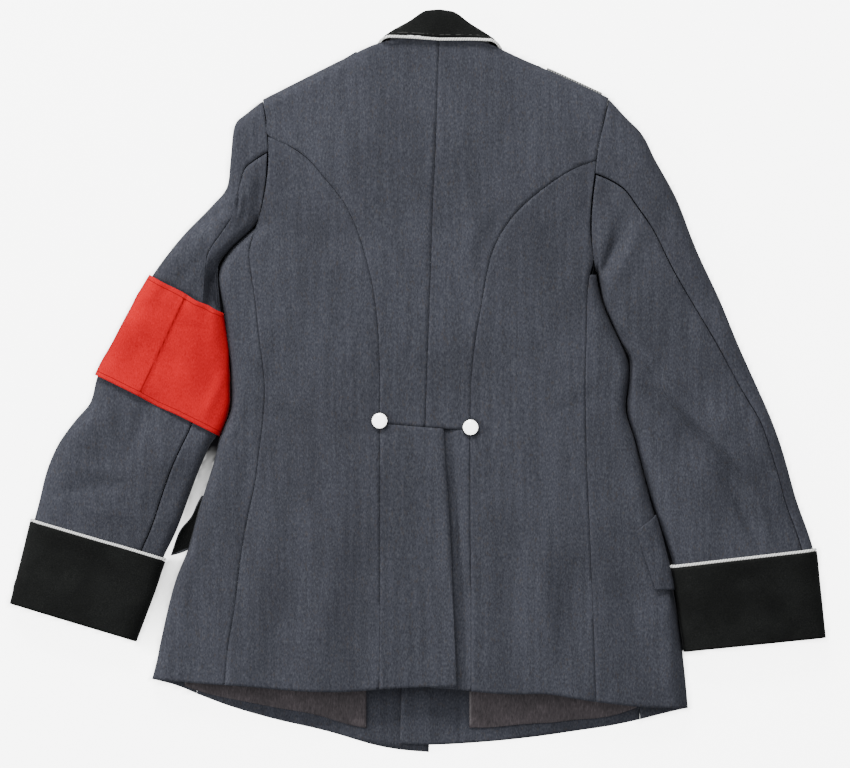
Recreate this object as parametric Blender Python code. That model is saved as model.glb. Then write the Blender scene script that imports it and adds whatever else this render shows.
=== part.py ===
# Officer's dress tunic, laid face down and flat, back uppermost, sleeves spread.
# X runs to the right, Y towards the collar and Z up, in metres. The tables are in millimetres.
import math

import bmesh
import bpy
from mathutils import Vector

MM = 0.001
BOX_CENTRE = Vector((-0.19, 1.66, 0))  # the tables' place for the middle of the finished outline

# cloth and seams
CLOTH = 1.8
FACING = 1.2
COLLAR_CLOTH = 2.0
CUFF_CLOTH = 1.8
BAND_CLOTH = 1.2
SEAM = 0.15  # each panel stops this far short of its seam line
SHOULDER_GAP = 1.6  # the fronts stop this far short of the shoulder fold
CLEAR = 0.3  # air between a piece and the panel that it lies on
LOOSE = 2.2  # air between a sleeve and the cuff or band round it

# how the two layers of the laid garment stand off the surface
REST = CLOTH / 2  # the lowest layer's own middle
FOLD_HEIGHT = 8.0  # where the upper and the lower layer meet at a fold
FOLD_ROUND = 10.0
SHOULDER_ROUND = 14.0
UPPER_RISE = 14.0
DOME_RISE = 6.0
DOME_REACH = 120.0

# trims
PIPING = 3.2
CUFF_PIPING = 3.2
WAIST_BUTTON = 20.0
FRONT_BUTTON = 20.0
FRONT_BUTTON_HEIGHT = 4.0
BOARD_BUTTON = 14.0

# the torso's two edges: (level, left, right); above the underarm they are the armhole seams
TORSO_EDGES = (
    (335, -181, 222),
    (304, -176, 215.5),
    (286, -174, 211),
    (268, -173, 207.5),
    (247, -174, 205),
    (226, -176.5, 202.7),
    (208, -180, 200.6),
    (187, -185, 199.6),
    (174, -194, 200),
    (162, -208.5, 200.6),
    (146, -224, 202.5),
    (128, -231, 206.5),
    (108, -229.3, 210.5),
    (91, -227, 214),
    (70, -224, 223.5),
    (47, -221, 234.5),
    (25, -218, 245),
    (3, -216.3, 244.5),
    (-30, -216.8, 240.6),
    (-45, -221, 245),
    (-60, -229, 250),
    (-85, -234.5, 256.5),
    (-113, -244, 263.8),
    (-134, -250.8, 269),
    (-165, -259.5, 278.7),
    (-196, -268, 287),
    (-228, -281, 294.5),
    (-269, -293.5, 301),
    (-310, -302.6, 306.5),
    (-345, -310.5, 310.5),
    (-380, -317, 313.5),
)
UNDERARM_LEFT = 187
UNDERARM_RIGHT = 128

# the seams that run down the back: (level, across)
CENTRE_BACK = ((404, 25), (391, 24.4), (328, 22), (281, 20.6), (212, 17.4), (142, 15), (72, 12.6),
               (14, 10.4), (-60, 8))
PRINCESS_LEFT = (
    (285, -173),
    (278, -158.8),
    (271, -142.8),
    (259, -127.5),
    (243, -113.5),
    (226, -98.8),
    (211, -87.5),
    (192, -77),
    (170, -68),
    (140, -59.2),
    (110, -52.2),
    (61, -46.3),
    (3, -44.2),
    (-206, -44),
    (-370, -45.3),
)
PRINCESS_RIGHT = (
    (257, 206),
    (251, 187.5),
    (243, 173.3),
    (235, 159.6),
    (224, 144.8),
    (212, 129.3),
    (197, 113.9),
    (180, 100.6),
    (162, 90.6),
    (143, 83.2),
    (112, 77.2),
    (80, 71.6),
    (38, 65),
    (3, 61.6),
    (-52, 60.3),
    (-136, 60.3),
    (-252, 61.3),
    (-370, 61.5),
)
SIDE_LEFT = (
    (187, -182.5),
    (178, -187),
    (168, -193.5),
    (144, -195.5),
    (117, -191.6),
    (82, -187.2),
    (39, -182.4),
    (-1, -177.6),
    (-41, -179.3),
    (-81, -184.3),
    (-113, -188),
    (-156, -197.5),
    (-209, -206.2),
    (-262, -212.6),
    (-310, -220.5),
    (-360, -224.8),
)
SIDE_RIGHT = ((128, 199), (96, 196), (49, 194.9), (3, 193.8), (-78, 194.9), (-165, 198.4), (-281, 203),
              (-380, 206.7))
# the seams between the side pieces and the fronts, on the underside
FRONT_SEAM_LEFT = (
    (187, -185),
    (168, -182),
    (128, -178),
    (75, -170),
    (25, -164),
    (-30, -162),
    (-85, -180),
    (-134, -196),
    (-196, -212),
    (-269, -239),
    (-345, -254),
    (-375, -260),
)
FRONT_SEAM_RIGHT = (
    (128, 203),
    (91, 190),
    (47, 186),
    (3, 188),
    (-30, 186),
    (-85, 201),
    (-134, 214),
    (-196, 232),
    (-269, 246),
    (-345, 256),
    (-400, 258),
)
VENT_EDGE = ((-54, 29.5), (-103, 32.4), (-151, 36.2), (-189, 38.2), (-276, 41.8), (-356, 45.2))
UNDERLAP_EDGE = ((-54, 8), (-356, 14))

# upper and lower borders: (across, level)
BACK_TOP = (
    (-181, 327),
    (-114, 361),
    (-67, 383.8),
    (-55, 389),
    (-46, 392.3),
    (-41.5, 394.6),
    (-36, 397.2),
    (-30, 398.6),
    (24, 400.5),
    (62, 398.8),
    (72, 397.5),
    (80, 394.6),
    (90, 389.5),
    (98, 385),
    (110, 379),
    (130, 370.8),
    (165, 355.5),
    (222, 329),
)
FRONT_TOP = (
    (-181, 327),
    (-114, 361),
    (-60, 386),
    (-57, 380),
    (-46, 360),
    (-18, 327),
    (24, 310),
    (66, 324),
    (96, 354),
    (105, 374),
    (110, 380),
    (130, 370.8),
    (165, 355.5),
    (222, 329),
)
WAIST = ((-46, -47), (60, -55.5))
BACK_HEM = ((-312, -343.5), (-249, -348.6), (-185, -352.8), (-121, -358), (-89, -358), (-29, -354),
            (21, -352.2), (46, -352.5))
UNDER_HEM = ((10, -353), (44, -355.2), (61, -357.2), (111, -360.8), (170, -360.4), (177, -365),
             (211, -370.2), (271, -376.2), (315, -377.2))
FRONT_HEM_LEFT = (
    (-312, -343.5),
    (-281, -351.7),
    (-238, -368.8),
    (-206, -379.4),
    (-164, -391.2),
    (-121, -400.8),
    (-78, -412.4),
    (-49, -421.1),
    (-21, -426.1),
    (7, -430.7),
    (12.6, -429),
)
FRONT_HEM_RIGHT = (
    (-21, -419),
    (13, -420.4),
    (69, -417.7),
    (101, -415),
    (151, -409.1),
    (191, -403.1),
    (234, -396.5),
    (282, -384.8),
    (315, -377),
)
CENTRE_FRONT = ((330, 24), (200, 19), (60, 12), (-50, 7), (-200, 2), (-440, -4.5))
OVERLAP = 17.0  # how far each front passes the centre front
OVERLAP_LIFT = 3.8

# soft folds of the upper layer: a straight crest or trough with its half width and its height
TORSO_FOLDS = (
    (-143, 252, -90, 119, 22, -3.0),
    (86, 229, 60, 142, 12, 2.5),
    (98, 246, 74, 154, 9, -2.0),
    (124, 183, 182, 119, 14, -2.2),
    (150, 200, 186, 172, 12, -1.8),
    (-90, -223, -91, -362, 17, -4.5),
    (-118, -240, -121, -362, 12, 2.5),
    (-143, -136, -146, -330, 17, -4.0),
    (-60, -250, -62, -360, 12, 2.5),
    (107, -165, 112, -345, 15, -4.5),
    (130, -148, 172, -368, 11, 6.0),
    (178, -225, 190, -370, 10, -4.5),
    (37, -78, 39, -194, 10, -1.5),
    (-195, -78, -197, -205, 14, -4.0),
    (-264, -223, -240, -320, 14, -3.0),
    (-150, 60, -170, -30, 16, -2.0),
    (150, 20, 185, -40, 16, -2.5),
    (230, -190, 262, -330, 16, -3.0),
)
SLEEVE_FOLDS_LEFT = (
    (-184, 250, -200, 213, 9, 4.0),
    (-200, 213, -230, 189, 9, 3.5),
    (-262, 181, -224, 200, 6, -4.0),
    (-238, 199, -293, 142, 9, -3.5),
    (-282, 125, -262, 100, 10, -4.0),
    (-254, 120, -257, 86, 5, 3.0),
    (-240, 116, -240, 96, 11, -9.0),
    (-305, -32, -369, -107, 12, -5.0),
    (-328, -102, -369, -125, 10, -3.5),
    (-262, -70, -300, -110, 12, 3.0),
    (-300, 60, -268, -20, 14, -2.5),
    (-390, -70, -330, -130, 14, 2.5),
    (-350, -150, -330, -190, 14, -2.5),
)
SLEEVE_FOLDS_RIGHT = (
    (240, 188, 217, 136, 9, -5.5),
    (222, 150, 212, 178, 10, 4.0),
    (214, 88, 240, 38, 10, 6.0),
    (240, 38, 294, -20, 11, 10.0),
    (294, -20, 372, -80, 11, 9.0),
    (372, -80, 436, -136, 11, 6.0),
    (262, 0, 327, -76, 13, -6.0),
    (327, -76, 397, -171, 13, -5.0),
    (385, -20, 367, 15, 14, -3.0),
    (344, 119, 320, 90, 15, -3.0),
    (300, 200, 262, 160, 16, -2.5),
    (425, -120, 446, -170, 11, -3.0),
    (300, -120, 318, -190, 16, 2.5),
)

# sleeves, from the armhole to the cuff: the outer and inner fold of each cross-section and its height
SLEEVE_LEFT = (
    (-180, 326, -186, 187, 12),
    (-198, 312, -189.5, 184, 13),
    (-212, 298, -193, 179.5, 14),
    (-216, 266, -199.5, 173, 15),
    (-220, 229, -209.6, 164, 16),
    (-241, 202, -220.2, 153.1, 16),
    (-272, 170, -232.8, 132.4, 16),
    (-308, 123, -229.6, 80, 13),
    (-330, 85, -223.6, 32, 11),
    (-351, 45, -222.4, -20, 11),
    (-371, 8, -234, -60, 12),
    (-379, -22, -241, -70, 13),
    (-397, -44, -248.5, -86, 14),
    (-417, -72, -258, -109, 14),
    (-431, -105, -269, -139, 14),
    (-439, -138, -281, -171, 14),
    (-445.5, -162, -297.5, -206, 13),
    (-453.5, -195, -308, -237, 12),
    (-469, -257, -331, -298.5, 12),
)
SLEEVE_RIGHT = (
    (221, 329, 205, 131, 13),
    (239, 309, 209, 126.5, 14),
    (260, 286.5, 211, 118, 15),
    (275, 257, 213.5, 105, 16),
    (299, 213, 217, 91, 17),
    (321, 156, 224.9, 72, 17),
    (349, 96, 237.1, 46, 16),
    (370, 45, 247, 22, 14),
    (392, -4, 243.5, -30, 13),
    (412, -50, 253.2, -68, 13),
    (425, -89, 261.7, -102, 13),
    (438, -136, 273.5, -142, 14),
    (451, -172, 286, -178, 14),
    (458, -196, 297, -215, 13),
    (461.5, -229, 303, -248, 12),
    (468.5, -296, 313, -311.5, 12),
)
# where the two seams of each sleeve lie: (section, share of the upper side, share of the under side)
SLEEVE_SEAMS_LEFT = ((0, 0.42, 0.6), (3.3, 0.45, 0.62), (5, 0.6, 0.66), (7, 0.75, 0.7), (10, 0.8, 0.72),
                     (17, 0.84, 0.72))
SLEEVE_SEAMS_RIGHT = ((0, 0.44, 0.6), (3.6, 0.32, 0.66), (5.7, 0.25, 0.7), (8, 0.12, 0.72), (9, 0.08, 0.72),
                      (14, 0.08, 0.72))


def ease(t):
    t = min(max(t, 0.0), 1.0)
    return t * t * (3 - 2 * t)


def rim(distance, radius):
    """Height of a quarter round, 0 at the fold and 1 from the radius inwards."""
    q = 1 - min(max(distance / radius, 0.0), 1.0)
    return math.sqrt(1 - q * q)


def table_line(rows, key=0, value=1):
    """A smooth line through a table's rows, read by its key column."""
    rows = sorted(rows, key=lambda row: row[key])
    xs = [row[key] for row in rows]
    ys = [row[value] for row in rows]
    steps = [(ys[i + 1] - ys[i]) / (xs[i + 1] - xs[i]) for i in range(len(xs) - 1)]
    slopes = [steps[0]]
    for before, after in zip(steps, steps[1:]):
        slopes.append(0.0 if before * after <= 0 else 2 * before * after / (before + after))
    slopes.append(steps[-1])

    def read(x):
        if x <= xs[0]:
            return ys[0] + slopes[0] * (x - xs[0])
        if x >= xs[-1]:
            return ys[-1] + slopes[-1] * (x - xs[-1])
        i = max(k for k in range(len(xs) - 1) if xs[k] <= x)
        h = xs[i + 1] - xs[i]
        t = (x - xs[i]) / h
        return (
            ys[i] * (1 + 2 * t) * (1 - t) ** 2
            + slopes[i] * h * t * (1 - t) ** 2
            + ys[i + 1] * t * t * (3 - 2 * t)
            + slopes[i + 1] * h * t * t * (t - 1)
        )

    return read


left_edge = table_line(TORSO_EDGES, 0, 1)
right_edge = table_line(TORSO_EDGES, 0, 2)
back_top = table_line(BACK_TOP)
front_neck = table_line(FRONT_TOP)
centre_front = table_line(CENTRE_FRONT)
back_hem = table_line(BACK_HEM)
under_hem = table_line(UNDER_HEM)
hem_left = table_line(FRONT_HEM_LEFT)
hem_right = table_line(FRONT_HEM_RIGHT)
waist = table_line(WAIST)


def front_top(x):
    """The fronts' upper border: the shoulder folds and the neckline between them."""
    return min(front_neck(x), back_top(x))


def from_fold(x, y, edge, underarm, side):
    """How far a point lies inside one side fold of the torso, which starts at the underarm."""
    if y > underarm:
        return math.hypot(x - edge(underarm), y - underarm)
    slope = (edge(y + 4) - edge(y - 4)) / 8
    return max((x - edge(y)) * side - REST, 0) / math.sqrt(1 + slope * slope)


def from_shoulder(x, y):
    """How far a point lies below the shoulder folds; the neck between them has no fold."""
    neck = ease((min(x + 52, 102 - x)) / 24)
    return max((back_top(x) - y) * 0.9, 0.0) + 30 * neck


def fold_sum(x, y, folds):
    total = 0.0
    for x0, y0, x1, y1, width, height in folds:
        along = ((x - x0) * (x1 - x0) + (y - y0) * (y1 - y0)) / ((x1 - x0) ** 2 + (y1 - y0) ** 2)
        t = min(max(along, 0.0), 1.0)
        gap = math.hypot(x - x0 - t * (x1 - x0), y - y0 - t * (y1 - y0))
        middle = min(max(t, 0.15), 0.85)
        if gap < 3 * width:
            total += height * math.exp(-((gap / width) ** 2)) * (0.45 + 0.55 * math.sin(math.pi * middle))
    return total


def torso_share(x, y):
    sides = from_fold(x, y, left_edge, UNDERARM_LEFT, 1), from_fold(x, y, right_edge, UNDERARM_RIGHT, -1)
    share = rim(sides[0], FOLD_ROUND) * rim(sides[1], FOLD_ROUND) * rim(from_shoulder(x, y), SHOULDER_ROUND)
    return share, min(sides)


def upper(x, y):
    """Middle height of the torso's upper layer."""
    share, inside = torso_share(x, y)
    dome = DOME_RISE * ease(inside / DOME_REACH) * ease((back_top(x) - y) / DOME_REACH)
    folds = fold_sum(x, y, TORSO_FOLDS)
    return FOLD_HEIGHT + share * (UPPER_RISE + dome + folds * min(inside / 16, 1))


def lower(x, y):
    """Middle height of the torso's lower layer, which rests but for what lies under it."""
    share = torso_share(x, y)[0]
    aside = abs(x - centre_front(y))
    buttons = 5.4 * (1 - ease((aside - 11) / 45)) * ease((y - 20) / 30)
    collar = 4.8 * (1 - ease((math.hypot(x - 24, y - 352) - 80) / 26))
    board = 5.0 * ease((x - 116) / 18) * ease((y - back_top(x) + 74) / 24)
    lift = max(buttons, collar, board)
    return REST + lift + (FOLD_HEIGHT - REST - lift) * (1 - share)


def material(name, colour, rough, metal=0.0):
    made = bpy.data.materials.get(name) or bpy.data.materials.new(name)
    made.use_nodes = True
    shader = made.node_tree.nodes["Principled BSDF"]
    shader.inputs["Base Color"].default_value = (*colour, 1)
    shader.inputs["Roughness"].default_value = rough
    shader.inputs["Metallic"].default_value = metal
    return made


WOOL = material("wool", (0.075, 0.08, 0.1), 0.9)
BLACK_WOOL = material("black wool", (0.012, 0.013, 0.012), 0.9)
RED_COTTON = material("red cotton", (0.64, 0.04, 0.035), 0.8)
LINING = material("lining", (0.04, 0.035, 0.036), 0.5)
SILVER_CORD = material("silver cord", (0.75, 0.75, 0.72), 0.5, 0.3)
BUTTON_METAL = material("button metal", (0.85, 0.85, 0.83), 0.35, 0.6)
NUDGE = 1e-3


def add_object(name, bm, finish):
    bmesh.ops.recalc_face_normals(bm, faces=bm.faces[:])
    bmesh.ops.translate(bm, vec=-BOX_CENTRE * MM, verts=bm.verts[:])
    mesh = bpy.data.meshes.new(name)
    bm.to_mesh(mesh)
    bm.free()
    mesh.materials.append(finish)
    mesh.shade_smooth()
    mesh.set_sharp_from_angle(angle=math.radians(40))
    made = bpy.data.objects.new(name, mesh)
    bpy.context.collection.objects.link(made)
    return made


def facing_of(spot, u, v):
    """The direction that a surface faces at one place."""
    across = spot(u + NUDGE, v) - spot(u - NUDGE, v)
    along = spot(u, v + NUDGE) - spot(u, v - NUDGE)
    normal = across.cross(along)
    return normal.normalized() if normal.length > 1e-12 else Vector((0, 0, 1))


def wall(name, spot, columns, rows, thick, finish, ring=False):
    """A closed wall of even thickness about the surface that spot(u, v) gives."""
    bm = bmesh.new()
    bmesh.ops.create_grid(bm, x_segments=columns, y_segments=rows, size=0.5)
    out = bm.verts.layers.float_vector.new("out")
    for vert in bm.verts:
        u, v = vert.co.x + 0.5, vert.co.y + 0.5
        vert[out] = facing_of(spot, u, v) * thick / 2 * MM
        vert.co = spot(u, v) * MM
    if ring:
        bmesh.ops.remove_doubles(bm, verts=bm.verts[:], dist=1e-6)
    made = bmesh.ops.extrude_face_region(bm, geom=bm.faces[:], use_keep_orig=True)
    raised = {piece for piece in made["geom"] if isinstance(piece, bmesh.types.BMVert)}
    for vert in bm.verts:
        vert.co += vert[out] if vert in raised else -vert[out]
    return add_object(name, bm, finish)


def run(line, start, end, count):
    """Points evenly spaced along a seam between two levels."""
    fine = [start + (end - start) * i / 240 for i in range(241)]
    points = [(line(y), y) for y in fine]
    reach = [0.0]
    for a, b in zip(points, points[1:]):
        reach.append(reach[-1] + math.dist(a, b))
    picked = []
    for k in range(count):
        want = reach[-1] * k / (count - 1)
        i = min(range(len(reach)), key=lambda n: abs(reach[n] - want))
        picked.append(points[i])
    return picked


def between(points, t):
    """A place along a list of points, t running from 0 to 1."""
    at = min(max(t, -0.02), 1.02) * (len(points) - 1)
    i = min(max(int(at), 0), len(points) - 2)
    f = at - i
    return [p + (q - p) * f for p, q in zip(points[i], points[i + 1])]


def panel(left, right, height, top=None, bottom=None, top_gap=SEAM, bottom_gap=0.0):
    """A cut piece between two seams; top and bottom bend its ends to the border lines."""
    length = math.dist(left[0], left[-1])

    def end_bend(border, k, u):
        x = left[k][0] + (right[k][0] - left[k][0]) * u
        return border(x) - (left[k][1] + (right[k][1] - left[k][1]) * u)

    def spot(u, v):
        w = (top_gap + v * (length - top_gap - bottom_gap)) / length
        a, b = between(left, w), between(right, w)
        width = max(math.dist(a, b), 1.0)
        s = (SEAM + u * (width - 2 * SEAM)) / width
        x, y = a[0] + (b[0] - a[0]) * s, a[1] + (b[1] - a[1]) * s
        if top:
            y += end_bend(top, 0, s) * (1 - ease(w / 0.6))
        if bottom:
            y += end_bend(bottom, -1, s) * ease((w - 0.4) / 0.6)
        return Vector((x, y, height(x, y)))

    return spot


def clear_scene():
    for old in list(bpy.data.objects):
        bpy.data.objects.remove(old)


centre_back = table_line(CENTRE_BACK)
princess_left = table_line(PRINCESS_LEFT)
princess_right = table_line(PRINCESS_RIGHT)
side_left = table_line(SIDE_LEFT)
side_right = table_line(SIDE_RIGHT)
front_seam_left = table_line(FRONT_SEAM_LEFT)
front_seam_right = table_line(FRONT_SEAM_RIGHT)
vent_edge = table_line(VENT_EDGE)
underlap_edge = table_line(UNDERLAP_EDGE)
SHOULDER_STEPS = (0.0, 2.0, 7.0, 14.0, 28.0)

waist_left, waist_right, waist_centre = -47.0, -55.5, -51.5
top_left, top_right, top_centre = 327.0, 329.3, 400.5
armhole_left = [(left_edge(top_left - step), top_left - step) for step in SHOULDER_STEPS]
armhole_right = [(right_edge(top_right - step), top_right - step) for step in SHOULDER_STEPS]
centre_top = [(centre_back(top_centre - step), top_centre - step) for step in SHOULDER_STEPS]
centre_run = centre_top + run(centre_back, 359, waist_centre, 15)
princess_run_left = run(princess_left, 285, waist_left, 15)
princess_run_right = run(princess_right, 257, waist_right, 15)
princess_skirt_left = run(princess_left, waist_left, back_hem(-45), 12)
princess_skirt_right = run(princess_right, waist_right, under_hem(61), 12)
side_run_left = run(side_left, 178, back_hem(-223), 21)
side_run_right = run(side_right, 125, under_hem(206), 20)


def vent_drop(x, y):
    """How far the underlap of the vent lies below the lap."""
    past = x - vent_edge(y)
    return (CLOTH + CLEAR + 0.3) * (1 - ease((past - 2) / 16))


def build_back():
    wall("back_left", panel(armhole_left + princess_run_left, centre_run, upper, top=back_top, bottom=waist,
                            bottom_gap=SEAM), 6, 19, CLOTH, WOOL)
    wall("back_right",
         panel(centre_run, armhole_right + princess_run_right, upper, top=back_top, bottom=waist,
                             bottom_gap=SEAM), 6, 19, CLOTH, WOOL)
    vent = run(vent_edge, -53.5, back_hem(44), 12)
    underlap = run(underlap_edge, -52, -353, 12)
    wall("skirt_left", panel(princess_skirt_left, vent, upper, top=waist, bottom=back_hem), 5, 11, CLOTH,
         WOOL)
    wall("skirt_right", panel(underlap, princess_skirt_right, lambda x, y: upper(x, y) - vent_drop(x, y),
                              top=waist, bottom=under_hem), 5, 11, CLOTH, WOOL)
    armhole = run(left_edge, 283, UNDERARM_LEFT + 4, 5)
    wall("side_back_left", panel(armhole + side_run_left, princess_run_left + princess_skirt_left[1:], upper,
                                 bottom=back_hem), 5, 25, CLOTH, WOOL)
    armhole = run(right_edge, 254, UNDERARM_RIGHT + 14, 6)
    wall("side_back_right",
         panel(princess_run_right + princess_skirt_right[1:], armhole + side_run_right, upper,
                                  bottom=under_hem), 5, 25, CLOTH, WOOL)


QUARTER = FOLD_ROUND * math.pi / 2


def to_fold(distance):
    """Turns a distance in from a fold into a length of cloth from it."""
    distance = max(distance, 0.0)
    if distance < FOLD_ROUND:
        return FOLD_ROUND * math.acos(1 - distance / FOLD_ROUND)
    return QUARTER + distance - FOLD_ROUND


def wrapped(edge, side, t, y):
    """The place that lies a length t of cloth from a side fold, on the upper side where t is positive."""
    length = abs(t)
    inside = FOLD_ROUND + length - QUARTER
    if length < QUARTER:
        inside = FOLD_ROUND * (1 - math.cos(length / FOLD_ROUND))
    x = edge(y) + side * (inside + REST)
    return Vector((x, y, upper(x, y) if t > 0 else lower(x, y)))


def under_run(under_seam, seam_run, under_end):
    """Points of a front seam, one for each point of the side seam above it."""
    start = seam_run[0][1]
    levels = [start + (under_end - start) * k / (len(seam_run) - 1) for k in range(len(seam_run))]
    return [(under_seam(level), level) for level in levels]


def side_piece(edge, side, seam_run, under_seam, under_end, hem_above, hem_below):
    """The piece under the arm: from the side seam round the fold to the front seam below."""
    count = len(seam_run)
    start_level = seam_run[0][1]
    span = under_end - start_level
    end_x, end_y = seam_run[-1]
    high_end = to_fold(abs(end_x - edge(end_y)) - REST) - SEAM
    low_end = to_fold(abs(under_seam(under_end) - edge(under_end)) - REST) - SEAM

    def hem_bend(u):
        """How far the lower border turns away from the straight line between its two seams."""
        t = high_end - (high_end + low_end) * u
        level = end_y + (under_end - end_y) * ease(u)
        hem = hem_above if t > 0 else hem_below
        return hem(wrapped(edge, side, t, level).x) - level

    def spot(u, v):
        x, y = between(seam_run, v)
        y_under = start_level + span * v
        high = to_fold(abs(x - edge(y)) - REST) - SEAM
        low = to_fold(abs(under_seam(y_under) - edge(y_under)) - REST) - SEAM
        t = high - (high + low) * u
        level = y + (y_under - y) * ease(u) + hem_bend(u) * ease((v - 0.6) / 0.4)
        return wrapped(edge, side, t, level)

    return spot, count - 1


def front_height(x, y, over):
    """The right front lies over the left one where they lap."""
    lap = over * (1 - ease((abs(x - centre_front(y)) - OVERLAP - 3) / 30))
    return lower(x, y) + (OVERLAP_LIFT + 0.2) * lap


def build_fronts():
    spot, rows = side_piece(left_edge, 1, side_run_left, front_seam_left, hem_left(-257), back_hem,
                            hem_left)
    wall("side_left", spot, 11, rows, CLOTH, WOOL)
    spot, rows = side_piece(right_edge, -1, side_run_right, front_seam_right, hem_right(257), under_hem,
                            hem_right)
    wall("side_right", spot, 11, rows, CLOTH, WOOL)
    top = [(left_edge(top_left - step), top_left - step) for step in SHOULDER_STEPS]
    outer = top + run(left_edge, 285, UNDERARM_LEFT + 8, 4)
    outer += under_run(front_seam_left, side_run_left, hem_left(-257))
    inner = run(lambda y: centre_front(y) + OVERLAP, 325, -429, len(outer))
    wall("front_left", panel(outer, inner, lambda x, y: front_height(x, y, 0), top=front_top, bottom=hem_left,
                             top_gap=SHOULDER_GAP),
         8, len(outer) - 1, CLOTH, WOOL)
    top = [(right_edge(top_right - step), top_right - step) for step in SHOULDER_STEPS]
    outer = top + run(right_edge, 285, UNDERARM_RIGHT + 10, 6)
    outer += under_run(front_seam_right, side_run_right, hem_right(257))
    inner = run(lambda y: centre_front(y) - OVERLAP, 328, -420, len(outer))
    wall("front_right",
         panel(inner, outer, lambda x, y: front_height(x, y, 1), top=front_top, bottom=hem_right,
                              top_gap=SHOULDER_GAP),
         8, len(outer) - 1, CLOTH, WOOL)


def at_section(table, value):
    return table_line([(k, row[value]) for k, row in enumerate(table)])


def sleeve(table, armhole, folds, lifts, outward):
    """The surface of a laid sleeve: u runs round it from the outer fold, over the top, v counts its sections."""
    outer_x, outer_y, inner_x, inner_y, rises = [at_section(table, n) for n in range(5)]
    lifted = table_line(lifts)

    def bow(share):
        x = outer_x(0) + (inner_x(0) - outer_x(0)) * share
        return armhole(outer_y(0) + (inner_y(0) - outer_y(0)) * share) + outward * SEAM - x

    def spot(u, v):
        share = (1 - math.cos(2 * math.pi * u)) / 2
        ox, oy, ix, iy = outer_x(v), outer_y(v), inner_x(v), inner_y(v)
        width = math.hypot(ix - ox, iy - oy)
        x = ox + (ix - ox) * share + bow(share) * math.exp(-v / 1.6)
        y = oy + (iy - oy) * share
        round_off = rim(min(share, 1 - share) * width, FOLD_ROUND)
        joined = 1 - ease(v / 1.5)
        if u % 1.0 < 0.5:
            own = rises(v) + 4 * math.sin(math.pi * share) + fold_sum(x, y, folds) * min(round_off * 1.2, 1)
            torso = upper(x, y) - FOLD_HEIGHT
            return Vector((x, y, FOLD_HEIGHT + round_off * (own * (1 - joined) + torso * joined)))
        own = FOLD_HEIGHT - REST - lifted(v)
        torso = FOLD_HEIGHT - lower(x, y)
        return Vector((x, y, FOLD_HEIGHT - round_off * (own * (1 - joined) + torso * joined)))

    def shifted(u, v, distance=0.0):
        place = spot(u, v)
        if distance:
            place = place + facing_of(spot, u, v) * distance * outward
        return place

    return shifted


BAND_TOP, BAND_BOTTOM = 7.0, 10.0
CUFF_LEFT, CUFF_RIGHT = 16.0, 13.0
LEFT_LIFTS = (
    (0, 0),
    (6, 0),
    (6.9, 3.5),
    (10.1, 3.5),
    (11, 0),
    (15, 0),
    (15.8, 5.4),
    (16.1, 5.4),
    (16.6, 4.1),
    (18, 4.1),
)
RIGHT_LIFTS = ((0, 0), (12, 0), (12.8, 5.4), (13.1, 5.4), (13.6, 4.1), (15, 4.1))
sleeve_left = sleeve(SLEEVE_LEFT, left_edge, SLEEVE_FOLDS_LEFT, LEFT_LIFTS, -1)
sleeve_right = sleeve(SLEEVE_RIGHT, right_edge, SLEEVE_FOLDS_RIGHT, RIGHT_LIFTS, 1)


def turn_of(share):
    """The share of a turn at which a sleeve's section reaches a share of its width, over the top."""
    return math.acos(1 - 2 * share) / (2 * math.pi)


def sleeve_panels(spot, seams, last):
    """The upper and the under piece of a sleeve, between its two seams."""
    over = table_line(seams, 0, 1)
    under = table_line(seams, 0, 2)

    def strip(u, v, begin, end, start):
        section = start + v * (last - start)
        gap = SEAM / 100
        a, b = begin(section) + gap, end(section) - gap
        return spot(a + (b - a) * u, section)

    def top_piece(u, v):
        return strip(u, v, lambda s: -turn_of(under(s)), lambda s: turn_of(over(s)), 0.03)

    def under_piece(u, v):
        return strip(u, v, lambda s: turn_of(over(s)), lambda s: 1 - turn_of(under(s)), 0.1)

    return top_piece, under_piece


def tube_about(name, points, width, finish, closed):
    """A round cord through a list of places."""
    curve = bpy.data.curves.new(name, "CURVE")
    curve.dimensions = "3D"
    curve.bevel_depth = width / 2 * MM
    curve.bevel_resolution = 1
    curve.use_fill_caps = True
    line = curve.splines.new("POLY")
    line.points.add(len(points) - 1)
    for target, place in zip(line.points, points):
        target.co = (*((place - BOX_CENTRE) * MM), 1)
    line.use_cyclic_u = closed
    curve.materials.append(finish)
    made = bpy.data.objects.new(name, curve)
    bpy.context.collection.objects.link(made)
    return made


def build_sleeve(side, spot, seams, last, cuff_top):
    top_piece, under_piece = sleeve_panels(spot, seams, last)
    rows = round(last * 1.7)
    wall("sleeve_upper_" + side, top_piece, 10, rows, CLOTH, WOOL)
    wall("sleeve_under_" + side, under_piece, 9, rows, CLOTH, WOOL)
    out = CLOTH / 2 + LOOSE + CUFF_CLOTH / 2
    wall("cuff_" + side, lambda u, v: spot(u, cuff_top + v * (last + 1 - cuff_top), out), 20, 5, CUFF_CLOTH,
         BLACK_WOOL, ring=True)
    out = CLOTH / 2 + CLEAR + 0.9 + CUFF_PIPING / 2
    section = cuff_top - 0.07
    tube_about("cuff_cord_" + side, [spot(k / 44, section, out) for k in range(44)], CUFF_PIPING,
               SILVER_CORD, True)


def build_armband():
    out = CLOTH / 2 + LOOSE + BAND_CLOTH / 2
    wall("armband", lambda u, v: sleeve_left(u, BAND_TOP + v * (BAND_BOTTOM - BAND_TOP), out), 20, 7,
         BAND_CLOTH,
         RED_COTTON, ring=True)


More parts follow.
